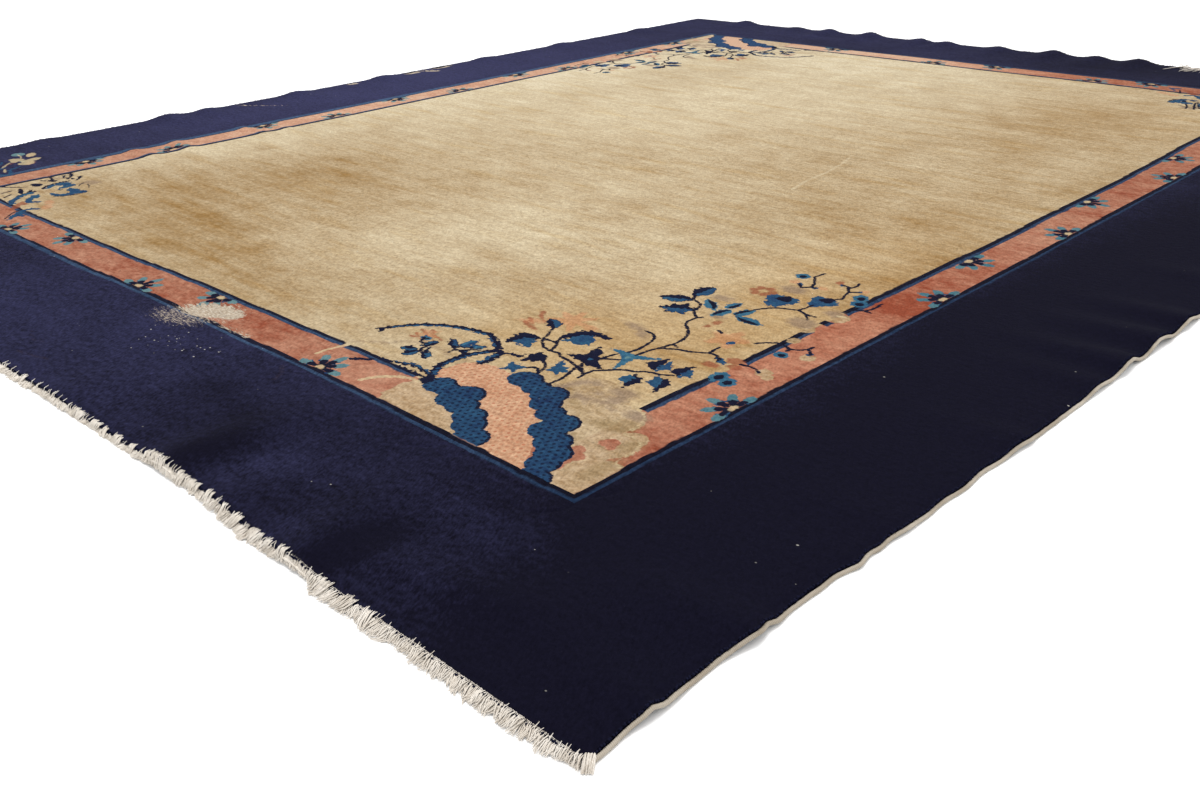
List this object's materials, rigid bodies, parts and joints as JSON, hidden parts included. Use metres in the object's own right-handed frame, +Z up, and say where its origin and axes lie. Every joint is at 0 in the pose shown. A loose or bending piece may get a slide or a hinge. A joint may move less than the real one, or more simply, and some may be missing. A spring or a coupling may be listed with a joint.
{
  "type": "chinese rug",
  "caption": "Large hand-knotted wool rug lying flat, with a wide plain border, a narrow inner band, an open field, rippled edges, selvedge cords and short fringed ends.",
  "frame": {"origin": "middle of the rug's underside, on the floor it lies on", "axes": "+Z up, +Y along the rug from the near fringed end to the far one, +X across the rug"},
  "size_m": [2.7518, 3.4272, 0.0218],
  "materials": {
    "wool_pile": "clipped wool pile: navy border, coral band, tan field",
    "cotton_selvedge": "overcast cream cotton cord",
    "cotton_fringe": "woven cream cotton strip and cut warp ends"
  },
  "bodies": {
    "root": {"pile_carpet": "wool_pile", "selvedge_cord_right": "cotton_selvedge", "selvedge_cord_left": "cotton_selvedge", "fringe_near": "cotton_fringe", "fringe_far": "cotton_fringe"}
  },
  "joints": []
}
